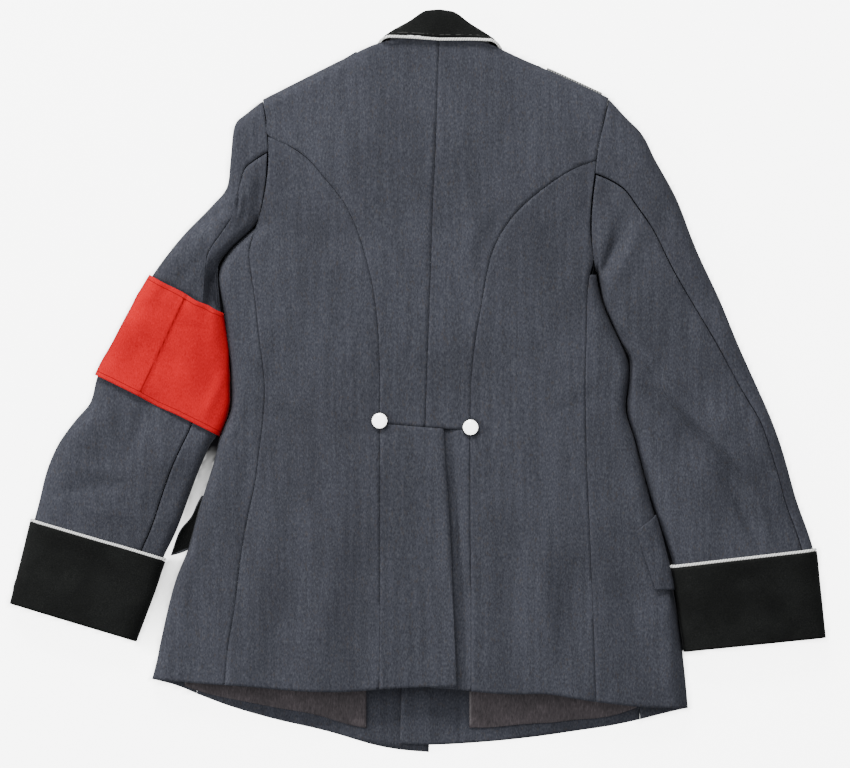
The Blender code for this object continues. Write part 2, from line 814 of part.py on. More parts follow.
# the collar, from the back round one side to the front: how far aside, the level and the height of its
# neck seam, of its fold and of the falling edge
COLLAR_MIDDLE = 25.0
COLLAR_TILT = -0.035
COLLAR = (
    (0, 404, 22.0, 0, 431.3, 24.0, 0, 400.0, 27.2),
    (18, 404, 21.8, 16, 429.2, 23.8, 19, 400.7, 27.2),
    (36, 404, 21.2, 33, 418.0, 23.0, 38, 401.2, 27.2),
    (53, 400.5, 19.5, 52, 406.5, 21.5, 57, 400.2, 28.4),
    (61.5, 387.5, 9.0, 65.0, 397.5, 11.0, 68.0, 394.0, 15.4),
    (61, 382, 5.6, 60, 392.0, 5.6, 71, 377.0, 2.3),
    (56, 361, 4.6, 50, 374.0, 4.6, 70, 346.0, 1.3),
    (36, 336, 4.6, 30, 351.0, 4.6, 50, 318.0, 1.3),
    (16, 322, 4.6, 16, 343.0, 4.6, 26, 300.0, 1.3),
    (1.5, 320, 4.6, 1.5, 341.0, 4.6, 5, 297.0, 1.3),
)
COLLAR_GAP = 1.6


def collar_station(index):
    """Neck seam, fold and falling edge of one station; negative stations lie on the left."""
    side = -1 if index < 0 else 1
    row = [collar_lines[n](abs(index)) for n in range(9)]
    places = []
    for n in (0, 3, 6):
        aside = side * row[n]
        places.append(Vector((COLLAR_MIDDLE + aside, row[n + 1] + COLLAR_TILT * aside, row[n + 2])))
    return places


def collar_spot(u, v):
    """The collar's surface: u from the neck seam over the fold to the falling edge, v round the neck."""
    last = len(COLLAR) - 1
    seam, fold, edge = collar_station((v * 2 - 1) * last)
    middle = (seam + edge) / 2
    up = (fold - middle).normalized()
    away = edge - seam
    away = (away - up * away.dot(up)).normalized()
    turned = ease((abs(v * 2 - 1) * last - 3.7) / 1.5)
    away = away.lerp(Vector((0, 0, -1)), turned).normalized() * COLLAR_GAP
    fold_in = fold - up * COLLAR_GAP
    path = [seam, seam.lerp(fold_in - away, 0.5), fold_in - away, fold_in + up * COLLAR_GAP, fold_in + away,
            edge.lerp(fold_in + away, 0.5), edge]
    return Vector(between(path, u)[0:3])


def build_collar():
    wall("collar", collar_spot, 6, 34, COLLAR_CLOTH, BLACK_WOOL)
    last = len(COLLAR) - 1
    places = []
    for k in range(53):
        seam, fold, edge = collar_station((k / 26 - 1) * last)
        out = (edge - fold).normalized()
        spare = 0.5 + 1.1 * ease(abs(k / 26 - 1) * last - 3)
        places.append(edge + out * (PIPING / 2 + CLEAR + spare) + Vector((0, 0, 0.6)))
    tube_about("collar_piping", places, PIPING, SILVER_CORD, False)


collar_lines = [at_section(COLLAR, n) for n in range(9)]


def button(name, place, width, height, finish, up=1):
    """A domed button, its flat back at the given place."""
    bm = bmesh.new()
    profile = [(0.0, 0.0), (0.42, 0.0), (0.5, 0.12), (0.5, 0.3), (0.44, 0.62), (0.3, 0.86), (0.0, 1.0)]
    verts = [bm.verts.new((r * width, 0, z * height * up)) for r, z in profile]
    edges = [bm.edges.new(pair) for pair in zip(verts, verts[1:])]
    bmesh.ops.spin(bm, geom=verts + edges, cent=(0, 0, 0), axis=(0, 0, 1), angle=math.tau, steps=16,
                   use_merge=True)
    bmesh.ops.remove_doubles(bm, verts=bm.verts[:], dist=1e-4)
    bmesh.ops.scale(bm, vec=(MM, MM, MM), verts=bm.verts[:])
    bmesh.ops.translate(bm, vec=place * MM, verts=bm.verts[:])
    return add_object(name, bm, finish)


WAIST_BUTTONS = (("left", -44.5, -44.0), ("right", 60.8, -51.6))
FRONT_BUTTON_LEVELS = (262, 192, 122, 52)


def build_buttons():
    for side, x, y in WAIST_BUTTONS:
        base = max(upper(x + dx, y + dy) for dx in (-9, 0, 9) for dy in (-9, 0, 9)) + CLOTH / 2 + CLEAR + 0.1
        button("waist_button_" + side, Vector((x, y, base)), WAIST_BUTTON, 6.0, BUTTON_METAL)
    for number, level in enumerate(FRONT_BUTTON_LEVELS, 1):
        button(f"front_button_{number}", Vector((centre_front(level), level, 0)), FRONT_BUTTON,
               FRONT_BUTTON_HEIGHT,
               BUTTON_METAL)


# the lining as it shows above the fronts' hems: (across, level)
LINING_HEM_LEFT = ((-272, -352), (-238, -362.5), (-196, -371), (-164, -377.3), (-121, -384.8),
                   (-78, -397.5), (-58, -401.5))
LINING_HEM_RIGHT = ((58, -400.5), (91, -400), (121, -396.3), (151, -395), (181, -391.5), (211, -389.2),
                    (234, -384.2), (256, -376.5))
LINING_TOP = -305.0
FLAP_CLOTH = 1.6
# pocket flaps: the right one lies on the side, given by its cloth length from the fold and its level;
# the left one sticks out from under the side, given by its outer border
FLAP_RIGHT = ((-172, 33.0), (-195, 31.5), (-218, 29.5), (-240, 26.5))
FLAP_RIGHT_SLANT = 18.0
FLAP_RIGHT_LIFT = 3.0
FLAP_RIGHT_END = 4.5
FLAP_LEFT = ((-251.5, -131), (-258, -143.5), (-264, -156.5), (-274.5, -168.5), (-281, -182), (-287.5, -201))
FLAP_LEFT_TUCK = 1.4
BOARD_START, BOARD_END = 150.0, 214.0
BOARD_PROUD = 3.6
BOARD_WIDTH = Vector((-7, -33, 0))
BOARD_THICK = 3.4
BOARD_MIDDLE = 2.4
BOARD_BUTTON_PLACE = Vector((138, 361.5, 0.2))


def build_lining():
    out = CLOTH / 2 + CLEAR + FACING / 2
    hem_line = table_line(LINING_HEM_LEFT)
    left = run(lambda y: -271, LINING_TOP, -352, 4)
    right = run(lambda y: -60, LINING_TOP, -401, 4)
    wall("lining_left", panel(left, right, lambda x, y: front_height(x, y, 0) + out, bottom=hem_line), 8, 3,
         FACING,
         LINING)
    hem_line_right = table_line(LINING_HEM_RIGHT)
    left = run(lambda y: 59.5, LINING_TOP, -400.5, 4)
    right = run(lambda y: 254, LINING_TOP, -377, 4)
    wall("lining_right",
         panel(left, right, lambda x, y: front_height(x, y, 1) + out, bottom=hem_line_right), 8, 3,
         FACING, LINING)


def build_flaps():
    reach = table_line(FLAP_RIGHT)
    top, end = FLAP_RIGHT[0][0], FLAP_RIGHT[-1][0]

    def on_side(u, v):
        level = top + (end - top) * v
        length = reach(level) + (FLAP_RIGHT_END - reach(level)) * u
        return wrapped(right_edge, -1, length, level + FLAP_RIGHT_SLANT * u * (1 - v))

    def flap(u, v):
        stand = FLAP_RIGHT_LIFT * (1 - ease(u / 0.7))
        return on_side(u, v) - facing_of(on_side, u, v) * (CLOTH / 2 + CLEAR + 0.4 + FLAP_CLOTH / 2 + stand)

    wall("flap_right", flap, 4, 5, FLAP_CLOTH, WOOL)
    levels = [y + 0.12 * (FLAP_LEFT[0][1] - y) for x, y in FLAP_LEFT]
    inner = [(left_edge(level) + FLAP_LEFT_TUCK, level) for level in levels]
    wall("flap_left", panel(list(FLAP_LEFT), inner, lambda x, y: FLAP_CLOTH / 2), 3, 5, FLAP_CLOTH,
         WOOL)


def build_shoulder_board():
    def spot(u, v):
        x = BOARD_START + (BOARD_END - BOARD_START) * u
        return Vector((x, back_top(x) + BOARD_PROUD, BOARD_MIDDLE)) + BOARD_WIDTH * v

    wall("shoulder_board", spot, 12, 6, BOARD_THICK, SILVER_CORD)
    button("shoulder_button", BOARD_BUTTON_PLACE, BOARD_BUTTON, 4.6, BUTTON_METAL)


clear_scene()
build_back()
build_fronts()
build_lining()
build_flaps()
build_shoulder_board()
build_sleeve("left", sleeve_left, SLEEVE_SEAMS_LEFT, 17, CUFF_LEFT)
build_sleeve("right", sleeve_right, SLEEVE_SEAMS_RIGHT, 14, CUFF_RIGHT)
build_armband()
build_collar()
build_buttons()
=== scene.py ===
import math

import bmesh
import bpy
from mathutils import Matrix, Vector, noise
from mathutils.kdtree import KDTree


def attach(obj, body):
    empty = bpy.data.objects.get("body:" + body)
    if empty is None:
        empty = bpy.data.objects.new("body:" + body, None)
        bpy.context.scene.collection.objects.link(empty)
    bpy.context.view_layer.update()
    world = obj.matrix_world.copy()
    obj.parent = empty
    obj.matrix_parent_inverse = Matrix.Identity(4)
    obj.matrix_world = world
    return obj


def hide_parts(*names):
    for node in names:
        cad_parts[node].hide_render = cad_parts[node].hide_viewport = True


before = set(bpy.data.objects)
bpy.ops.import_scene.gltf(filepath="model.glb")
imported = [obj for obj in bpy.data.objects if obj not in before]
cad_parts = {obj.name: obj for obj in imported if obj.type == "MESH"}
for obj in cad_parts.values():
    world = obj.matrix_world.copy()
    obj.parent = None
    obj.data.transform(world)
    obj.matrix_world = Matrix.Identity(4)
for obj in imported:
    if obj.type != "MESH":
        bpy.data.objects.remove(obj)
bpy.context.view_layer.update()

mm = 0.001
upperLayer = {"from": 13, "over": 6}  # the heights at which the garment's upper layer starts, in mm


def smooth(t):
    t = min(max(t, 0.0), 1.0)
    return t * t * (3 - 2 * t)


# 0 on the garment's lower layer and 1 on its upper one, from a height in mm
def upperShare(z):
    return smooth((z - upperLayer["from"]) / upperLayer["over"])


# Folds that are finer than the solids': (from x, from y, to x, to y, width, height), in mm.
# A negative height is a trough. Only the upper layer of the garment has them.
bodyFolds = (
    (-168, 290, -172, 190, 9, 1.0),
    (-150, 200, -118, 120, 10, -0.9),
    (-206, 40, -150, 10, 8, 0.9),
    (-208, 22, -160, -6, 7, -0.9),
    (-196, -10, -120, -34, 9, 0.9),
    (-205, -40, -150, -44, 7, -0.8),
    (-150, 110, -190, 10, 12, 1.0),
    (-92, -90, -112, -330, 14, 1.2),
    (-140, -120, -176, -330, 13, -1.1),
    (-60, -110, -66, -330, 10, -0.8),
    (96, -70, 124, -330, 13, 1.2),
    (150, -60, 170, -330, 13, -1.1),
    (200, -120, 226, -330, 14, 1.2),
    (236, -150, 262, -330, 9, -0.9),
    (196, 150, 150, 60, 11, 1.1),
    (206, 120, 180, 30, 9, -1.0),
    (210, 10, 160, -20, 8, 0.8),
    (214, -18, 150, -40, 8, -0.8),
    (20, 250, -6, 120, 13, 0.7),
    (70, 280, 96, 170, 14, -0.7),
    (-60, 300, -84, 200, 12, 0.7),
)
sleeveFolds = (
    (-214, 268, -246, 204, 8, 1.8),
    (-226, 240, -262, 182, 7, -1.8),
    (-206, 206, -252, 184, 5, -1.6),
    (-204, 213, -254, 192, 5, 1.4),
    (-256, 190, -296, 132, 9, 2.0),
    (-244, 150, -300, 96, 7, -2.0),
    (-310, -20, -332, -84, 8, -2.8),
    (-288, -48, -304, -120, 10, 2.0),
    (-410, -96, -330, -112, 8, 2.0),
    (-430, -130, -340, -120, 7, -2.0),
    (-380, -150, -290, -164, 9, 1.6),
    (-446, -170, -360, -200, 10, 1.5),
    (-330, -190, -312, -226, 9, -1.5),
    (-420, -210, -440, -252, 10, 1.5),
    (212, 122, 238, 170, 6, -2.6),
    (226, 112, 252, 168, 8, 1.8),
    (240, 140, 290, 40, 10, -1.3),
    (240, 68, 306, -24, 8, 4.2),
    (284, -4, 388, -110, 8, 5.6),
    (368, -84, 410, -178, 8, 4.8),
    (224, 58, 292, -36, 8, -3.6),
    (272, -14, 374, -122, 9, -5.4),
    (352, -98, 396, -188, 9, -5.0),
    (310, 60, 404, -40, 12, -1.4),
    (288, -90, 330, -170, 12, -1.6),
    (420, -80, 440, -190, 9, -1.4),
    (330, -190, 420, -230, 10, 1.4),
)
quietSpots = ((-45, -44.7, 14, 26), (61, -52, 14, 26))  # round the waist buttons: (x, y, still, full)

# how unevenly the cloth lies: (height, size across, size along, seed); the last one is on the sleeves alone
bodyWaves = ((0.55, 46, 60, 3.1), (0.28, 19, 24, 7.7))
sleeveWave = (0.7, 27, 31, 11.3)
bodySpan = {"middle": 10, "half": 190, "fade": 30}  # the body's width, past which the sleeves start


def foldHeight(x, y, folds):
    total = 0.0
    for startX, startY, endX, endY, width, height in folds:
        runX, runY = endX - startX, endY - startY
        along = min(max(((x - startX) * runX + (y - startY) * runY) / (runX * runX + runY * runY), 0.0), 1.0)
        gap = math.hypot(x - startX - along * runX, y - startY - along * runY)
        if gap < 2.6 * width:
            total += height * math.exp(-((gap / width) ** 2)) * math.sin(math.pi * (0.12 + 0.76 * along))
    return total


def waveHeight(x, y, wave):
    height, across, along, seed = wave
    return height * noise.noise(Vector((x / across, y / along, seed)))


# how far the upper layer stands off the solids' form at one place, in mm
def clothLift(place):
    x, y, z = place / mm
    share = upperShare(z)
    if share == 0:
        return 0.0
    lift = foldHeight(x, y, bodyFolds + sleeveFolds)
    lift += sum(waveHeight(x, y, wave) for wave in bodyWaves)
    onSleeve = smooth((abs(x - bodySpan["middle"]) - bodySpan["half"]) / bodySpan["fade"])
    lift += onSleeve * waveHeight(x, y, sleeveWave)
    for spotX, spotY, still, full in quietSpots:
        share *= smooth((math.hypot(x - spotX, y - spotY) - still) / (full - still))
    return lift * share


# one node with its settings and its sockets' values; a value that is a socket is linked
def addNode(tree, kind, values=None, **settings):
    made = tree.nodes.new(kind)
    for name, value in settings.items():
        setattr(made, name, value)
    for name, value in (values or {}).items():
        if isinstance(value, bpy.types.NodeSocket):
            tree.links.new(value, made.inputs[name])
        else:
            made.inputs[name].default_value = value
    return made


def mixOf(tree, share, first, second, blend="MIX"):
    values = {0: share, 6: first, 7: second}
    return addNode(tree, "ShaderNodeMix", values, data_type="RGBA", blend_type=blend).outputs[2]


def rangeOf(tree, value, fromMin, fromMax, toMin=0.0, toMax=1.0):
    values = {"Value": value, "From Min": fromMin, "From Max": fromMax, "To Min": toMin, "To Max": toMax}
    return addNode(tree, "ShaderNodeMapRange", values, interpolation_type="SMOOTHSTEP").outputs["Result"]


def mathOf(tree, action, first, second):
    return addNode(tree, "ShaderNodeMath", {0: first, 1: second}, operation=action).outputs["Value"]


def axisOf(tree, place, axis):
    return addNode(tree, "ShaderNodeSeparateXYZ", {0: place}).outputs[axis]


def noiseOf(tree, scale, detail=2.0, stretch=(1, 1, 1)):
    place = addNode(tree, "ShaderNodeTexCoord").outputs["Object"]
    turned = addNode(tree, "ShaderNodeMapping", {"Vector": place, "Scale": stretch}).outputs["Vector"]
    return addNode(tree, "ShaderNodeTexNoise", {"Vector": turned, "Scale": scale, "Detail": detail}).outputs["Fac"]


def newGroup(name, inputs, outputs):
    made = bpy.data.node_groups.new(name, "ShaderNodeTree")
    for socketName, kind, value in inputs:
        made.interface.new_socket(socketName, in_out="INPUT", socket_type=kind).default_value = value
    for socketName, kind in outputs:
        made.interface.new_socket(socketName, in_out="OUTPUT", socket_type=kind)
    return made, made.nodes.new("NodeGroupInput").outputs, made.nodes.new("NodeGroupOutput").inputs


def useGroup(tree, group, values):
    return addNode(tree, "ShaderNodeGroup", values, node_tree=group).outputs


# weave: dark, middle and pale fibres
weave, given, result = newGroup(
    "weave",
    (("Dark", "NodeSocketColor", (0, 0, 0, 1)), ("Middle", "NodeSocketColor", (0.2, 0.2, 0.2, 1)),
     ("Pale", "NodeSocketColor", (0.5, 0.5, 0.5, 1)), ("Fineness", "NodeSocketFloat", 600.0),
     ("Stretch", "NodeSocketVector", (1, 1, 1))),
    (("Color", "NodeSocketColor"), ("Height", "NodeSocketFloat")))
grain = noiseOf(weave, given["Fineness"], 3, given["Stretch"])
fibres = mixOf(weave, rangeOf(weave, grain, 0.3, 0.5), given["Dark"], given["Middle"])
fibres = mixOf(weave, rangeOf(weave, grain, 0.5, 0.7), fibres, given["Pale"])
weave.links.new(fibres, result["Color"])
weave.links.new(grain, result["Height"])

# patches: broad lighter and darker places, from wear and light dust
patches, given, result = newGroup(
    "patches",
    (("Color", "NodeSocketColor", (0.5, 0.5, 0.5, 1)), ("Scale", "NodeSocketFloat", 10.0),
     ("Low", "NodeSocketFloat", 0.9), ("High", "NodeSocketFloat", 1.1)),
    (("Color", "NodeSocketColor"),))
broad = rangeOf(patches, noiseOf(patches, given["Scale"], 3), 0.3, 0.7, given["Low"], given["High"])
patches.links.new(mixOf(patches, 1.0, given["Color"], broad, "MULTIPLY"), result["Color"])

# inwards: 0 at a cloth's border and 1 away from it, from the distance in mm that the mesh carries
inwards, given, result = newGroup(
    "inwards", (("Start", "NodeSocketFloat", 0.0), ("End", "NodeSocketFloat", 1.0)), (("Mask", "NodeSocketFloat"),))
distance = addNode(inwards, "ShaderNodeAttribute", attribute_name="border").outputs["Fac"]
inwards.links.new(rangeOf(inwards, distance, given["Start"], given["End"]), result["Mask"])

# stitchRow: 1 along a row of stitches beside the border, which starts, is full and ends at these distances in mm
stitchRow, given, result = newGroup(
    "stitchRow",
    (("Near", "NodeSocketFloat", 2.0), ("Middle", "NodeSocketFloat", 3.0), ("Far", "NodeSocketFloat", 4.0)),
    (("Mask", "NodeSocketFloat"),))
begun = useGroup(stitchRow, inwards, {"Start": given["Near"], "End": given["Middle"]})["Mask"]
ended = useGroup(stitchRow, inwards, {"Start": given["Middle"], "End": given["Far"]})["Mask"]
stitchRow.links.new(mathOf(stitchRow, "SUBTRACT", begun, ended), result["Mask"])

# strands: slanting strands of a twisted cord, with painted shade in the grooves between them
strands, given, result = newGroup(
    "strands",
    (("Strand", "NodeSocketColor", (0.8, 0.8, 0.8, 1)), ("GrooveShade", "NodeSocketColor", (0.2, 0.2, 0.2, 1)),
     ("Closeness", "NodeSocketFloat", 120.0), ("Slant", "NodeSocketVector", (0, 0, 0))),
    (("Color", "NodeSocketColor"), ("Height", "NodeSocketFloat")))
place = addNode(strands, "ShaderNodeTexCoord").outputs["Object"]
place = addNode(strands, "ShaderNodeMapping", {"Vector": place, "Rotation": given["Slant"]}).outputs["Vector"]
wave = addNode(strands, "ShaderNodeTexWave", {"Vector": place, "Scale": given["Closeness"], "Distortion": 0.6,
                                              "Detail": 1.0}).outputs["Fac"]
rise = rangeOf(strands, wave, 0.05, 0.55)
strands.links.new(mixOf(strands, rise, given["GrooveShade"], given["Strand"]), result["Color"])
strands.links.new(rise, result["Height"])


def newMaterial(name, rough, metal=0.0):
    made = bpy.data.materials.new(name)
    made.use_nodes = True
    shader = made.node_tree.nodes["Principled BSDF"]
    shader.inputs["Roughness"].default_value = rough
    shader.inputs["Metallic"].default_value = metal
    return made, made.node_tree, shader


# the mask of a cloth's row of stitches
def rowOf(tree, cloth):
    near, middle, far = cloth["stitches"]
    return useGroup(tree, stitchRow, {"Near": near, "Middle": middle, "Far": far})["Mask"]


def bumpOf(tree, shader, height, distance, strength):
    made = addNode(tree, "ShaderNodeBump", {"Height": height, "Distance": distance, "Strength": strength})
    tree.links.new(made.outputs["Normal"], shader.inputs["Normal"])


# a woven cloth from one dictionary; gives the material, its tree and shader, and its colour so far
def newCloth(cloth):
    made, tree, shader = newMaterial(cloth["name"], cloth["rough"])
    fine = useGroup(tree, weave, {"Dark": (*cloth["dark"], 1), "Middle": (*cloth["middle"], 1),
                                  "Pale": (*cloth["pale"], 1), "Fineness": cloth["fineness"],
                                  "Stretch": cloth["stretch"]})
    scale, low, high = cloth["patches"]
    tone = useGroup(tree, patches, {"Color": fine["Color"], "Scale": scale, "Low": low, "High": high})["Color"]
    shader.inputs["Specular IOR Level"].default_value = cloth["shine"]
    bumpOf(tree, shader, fine["Height"], *cloth["bump"])
    tree.links.new(tone, shader.inputs["Base Color"])
    return made, tree, shader, tone


# heathered wool: pale and dark fibres, brown flecks, slubs along the warp, darker right at the seams
woolCloth = {"name": "woolCloth", "rough": 0.92, "dark": (0.028, 0.0295, 0.0385), "middle": (0.0415, 0.0435, 0.0555),
             "pale": (0.062, 0.065, 0.0775), "fineness": 640.0, "stretch": (1, 0.5, 1), "patches": (9.0, 0.9, 1.08),
             "shine": 0.2, "bump": (0.0004, 0.55), "fleck": (0.05, 0.042, 0.038), "flecks": 0.4,
             "seam": (0.88, 0.88, 0.89), "seamWidth": 1.0}
wool, tree, shader, tone = newCloth(woolCloth)
flecks = rangeOf(tree, noiseOf(tree, 430, 1, (1, 0.4, 1)), 0.6, 0.72, 0.0, woolCloth["flecks"])
tone = mixOf(tree, flecks, tone, (*woolCloth["fleck"], 1))
slubs = rangeOf(tree, noiseOf(tree, 160, 2, (1, 0.06, 1)), 0.35, 0.65, 0.9, 1.07)
tone = mixOf(tree, 1.0, tone, slubs, "MULTIPLY")
offSeam = useGroup(tree, inwards, {"Start": 0.1, "End": woolCloth["seamWidth"]})["Mask"]
tone = mixOf(tree, 1.0, tone, mixOf(tree, offSeam, (*woolCloth["seam"], 1), (1, 1, 1, 1)), "MULTIPLY")
tree.links.new(tone, shader.inputs["Base Color"])

blackCloth = {"name": "blackCloth", "rough": 0.95, "dark": (0.0045, 0.005, 0.0048), "middle": (0.0075, 0.008, 0.0076),
              "pale": (0.012, 0.0125, 0.0118), "fineness": 800.0, "stretch": (1, 1, 1), "patches": (24.0, 0.8, 1.3),
              "shine": 0.1, "bump": (0.0003, 0.5)}
blackWool, tree, shader, tone = newCloth(blackCloth)

# the collar's wool has one row of pale, broken stitches along its falling edge and none along its upper fold
collarCloth = dict(blackCloth, name="collarCloth", stitches=(2.2, 2.8, 3.4), thread=(0.07, 0.07, 0.066),
                   stitched=(0.409, 0.412))
collarWool, tree, shader, tone = newCloth(collarCloth)
broken = rangeOf(tree, noiseOf(tree, 330, 1, (1, 0.2, 0.2)), 0.48, 0.56, 0.0, 0.8)
upwards = axisOf(tree, addNode(tree, "ShaderNodeTexCoord").outputs["Object"], "Y")
row = mathOf(tree, "MULTIPLY", rowOf(tree, collarCloth), broken)
row = mathOf(tree, "MULTIPLY", row, rangeOf(tree, upwards, *collarCloth["stitched"], 1.0, 0.0))
tree.links.new(mixOf(tree, row, tone, (*collarCloth["thread"], 1)), shader.inputs["Base Color"])

# plain red cotton, stitched along its hems and its lap
bandCloth = {"name": "redCotton", "rough": 0.9, "dark": (0.46, 0.006, 0.009), "middle": (0.545, 0.009, 0.013),
             "pale": (0.62, 0.013, 0.019), "fineness": 950.0, "stretch": (1, 0.4, 1), "patches": (26.0, 0.84, 1.05),
             "shine": 0.06, "bump": (0.0003, 0.5), "stitches": (4.4, 5.2, 6.0), "thread": (0.25, 0.003, 0.004)}
redCotton, tree, shader, tone = newCloth(bandCloth)
tree.links.new(mixOf(tree, rowOf(tree, bandCloth), tone, (*bandCloth["thread"], 1)), shader.inputs["Base Color"])

liningTwill = {"name": "liningTwill", "rough": 0.5, "dark": (0.03, 0.0235, 0.026), "middle": (0.053, 0.042, 0.046),
               "pale": (0.082, 0.066, 0.072), "fineness": 700.0, "stretch": (1, 0.3, 1), "patches": (30.0, 0.8, 1.15),
               "shine": 0.4, "bump": (0.0003, 0.3)}
liningCloth, tree, shader, tone = newCloth(liningTwill)

# the inner side of the flap that sticks out: near-black, with a narrow paler rim along its border
flapUnderside = dict(blackCloth, name="flapUnderside", rim=(0.07, 0.072, 0.08), rimWidth=(0.9, 1.7))
flapBlack, tree, shader, tone = newCloth(flapUnderside)
rimStart, rimEnd = flapUnderside["rimWidth"]
inside = useGroup(tree, inwards, {"Start": rimStart, "End": rimEnd})["Mask"]
tree.links.new(mixOf(tree, inside, (*flapUnderside["rim"], 1), tone), shader.inputs["Base Color"])


# twisted cord from one dictionary, with a painted glow on its strands from its emission
def newCord(cord):
    made, tree, shader = newMaterial(cord["name"], cord["rough"], cord["metal"])
    # the grooves' colour is painted shade between the strands
    twist = useGroup(tree, strands, {"Strand": (*cord["strand"], 1), "GrooveShade": (*cord["grooveShade"], 1),
                                     "Closeness": cord["closeness"], "Slant": cord["slant"]})
    tree.links.new(twist["Color"], shader.inputs["Base Color"])
    bumpOf(tree, shader, twist["Height"], 0.0004, 0.8)
    # painted glow: the cord's own colour shines by itself, though it is no lamp
    tree.links.new(mixOf(tree, 1.0, twist["Color"], (*cord["paintedGlow"], 1), "MULTIPLY"), shader.inputs["Emission Color"])
    shader.inputs["Emission Strength"].default_value = cord["paintedGlowStrength"]
    return made


paleCord = newCord({"name": "paleCord", "rough": 0.5, "metal": 0.1, "strand": (0.88, 0.88, 0.85),
                    "grooveShade": (0.4, 0.4, 0.39), "closeness": 125.0, "slant": (0, 0, 0.6), "paintedGlow": (1, 1, 0.98),
                    "paintedGlowStrength": 0.5})
boardCord = newCord({"name": "boardCord", "rough": 0.45, "metal": 0.3, "strand": (0.5, 0.5, 0.48),
                     "grooveShade": (0.06, 0.06, 0.06), "closeness": 100.0, "slant": (0, 0, 0.25), "paintedGlow": (1, 1, 1),
                     "paintedGlowStrength": 0.1})

# pebbled pale metal with a painted glare glowing on the button's upward face and painted shade down its side, chosen by
# how far its normal points up
paleButton = {"name": "paleButton", "rough": 0.36, "metal": 0.35, "low": (0.78, 0.78, 0.75), "high": (0.92, 0.92, 0.9),
              "side": (0.05, 0.05, 0.05), "face": (0.72, 0.93), "paintedGlow": (1, 1, 0.98), "paintedGlowStrength": 4}
buttonMetal, tree, shader = newMaterial(paleButton["name"], paleButton["rough"], paleButton["metal"])
pebble = rangeOf(tree, noiseOf(tree, 500, 2), 0.3, 0.7)
pebble = mixOf(tree, pebble, (*paleButton["low"], 1), (*paleButton["high"], 1))
# painted light: the upward face takes the pebble and a painted glare, the side a painted dark
upright = axisOf(tree, addNode(tree, "ShaderNodeNewGeometry").outputs["Normal"], "Z")
face = rangeOf(tree, upright, *paleButton["face"])
tree.links.new(mixOf(tree, face, (*paleButton["side"], 1), pebble), shader.inputs["Base Color"])
tree.links.new(mixOf(tree, face, (0, 0, 0, 1), (*paleButton["paintedGlow"], 1)), shader.inputs["Emission Color"])
shader.inputs["Emission Strength"].default_value = paleButton["paintedGlowStrength"]
bumpOf(tree, shader, noiseOf(tree, 900, 2), 0.0002, 0.5)
print("materials made")


# how every cloth is made from its solid: lengths in mm and angles in degrees
shell = {"reach": 0.14,  # how far each side of a seam reaches below
         "wall": 2.3, "run": 2.8, "steep": 0.6,  # a border face is this thin at most, this long at least and this steep
         "joined": 50, "border": 58, "sharp": 48,  # triangles joined to quads, edges that count as border, sharp edges
         "longest": 6, "follow": 0.9, "rounds": 4}  # longest edge left, and how the cage is fitted


# lets the two sides of a seam meet below, where their solids stand a little apart
def closeSeams(bm):
    moves = {}
    for face in bm.faces:
        lengths = [edge.calc_length() / mm for edge in face.edges]
        thin = len(lengths) == 4 and min(lengths) < shell["wall"] and max(lengths) > shell["run"]
        if thin and abs(face.normal.z) < shell["steep"]:
            middle = face.calc_center_median()
            for vert in face.verts:
                if vert.co.z < middle.z:
                    moves.setdefault(vert, []).append(face.normal.copy())
    for vert, ways in moves.items():
        vert.co += sum(ways, Vector()) / len(ways) * shell["reach"] * mm


# moves the cage until its subdivided surface goes through the places where the cage was
def fitCage(piece):
    wanted = [vert.co.copy() for vert in piece.data.vertices]
    for roundNumber in range(shell["rounds"]):
        smoothed = piece.evaluated_get(bpy.context.evaluated_depsgraph_get()).to_mesh()
        misses = [place - smoothed.vertices[k].co for k, place in enumerate(wanted)]
        for vert, miss in zip(piece.data.vertices, misses):
            vert.co += miss * shell["follow"]
        piece.data.update()
        bpy.context.view_layer.update()


# places along the sharp edges of a cloth, from which the distance to its border is read
def borderTree(bm):
    marks = []
    crease = bm.edges.layers.float.new("crease_edge")
    for edge in bm.edges:
        if edge.calc_face_angle(0) > math.radians(shell["border"]):
            edge[crease] = 1
            steps = max(int(edge.calc_length() / mm), 1)
            marks += [edge.verts[0].co.lerp(edge.verts[1].co, k / steps) for k in range(steps + 1)]
    near = KDTree(len(marks))
    for k, place in enumerate(marks):
        near.insert(place, k)
    near.balance()
    return near


# an object with one solid's form in quads, its seams closed below, and the places along its border
def cageFrom(nodeName, pieceName):
    bm = bmesh.new()
    bm.from_mesh(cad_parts[nodeName].data)
    bmesh.ops.remove_doubles(bm, verts=bm.verts[:], dist=1e-6)
    bmesh.ops.join_triangles(bm, faces=bm.faces[:], angle_face_threshold=math.radians(shell["joined"]),
                             angle_shape_threshold=math.radians(180))
    near = borderTree(bm)
    closeSeams(bm)
    mesh = bpy.data.meshes.new(pieceName)
    bm.to_mesh(mesh)
    bm.free()
    piece = bpy.data.objects.new(pieceName, mesh)
    bpy.context.collection.objects.link(piece)
    return piece, near


# gives a cage its subdivided mesh, with no long edges left
def makeFiner(piece, levels):
    cage = piece.data
    finer = piece.modifiers.new("finer", "SUBSURF")
    finer.levels = finer.render_levels = levels
    fitCage(piece)
    built = bpy.data.meshes.new_from_object(piece.evaluated_get(bpy.context.evaluated_depsgraph_get()))
    piece.modifiers.clear()
    piece.data = built
    bpy.data.meshes.remove(cage)
    built.name = piece.name
    bm = bmesh.new()
    bm.from_mesh(built)
    for passNumber in range(3):
        longEdges = [edge for edge in bm.edges if edge.calc_length() > shell["longest"] * mm]
        if longEdges:
            bmesh.ops.subdivide_edges(bm, edges=longEdges, cuts=1, use_grid_fill=True)
    bmesh.ops.triangulate(bm, faces=[face for face in bm.faces if len(face.verts) > 4])
    bm.to_mesh(built)
    bm.free()


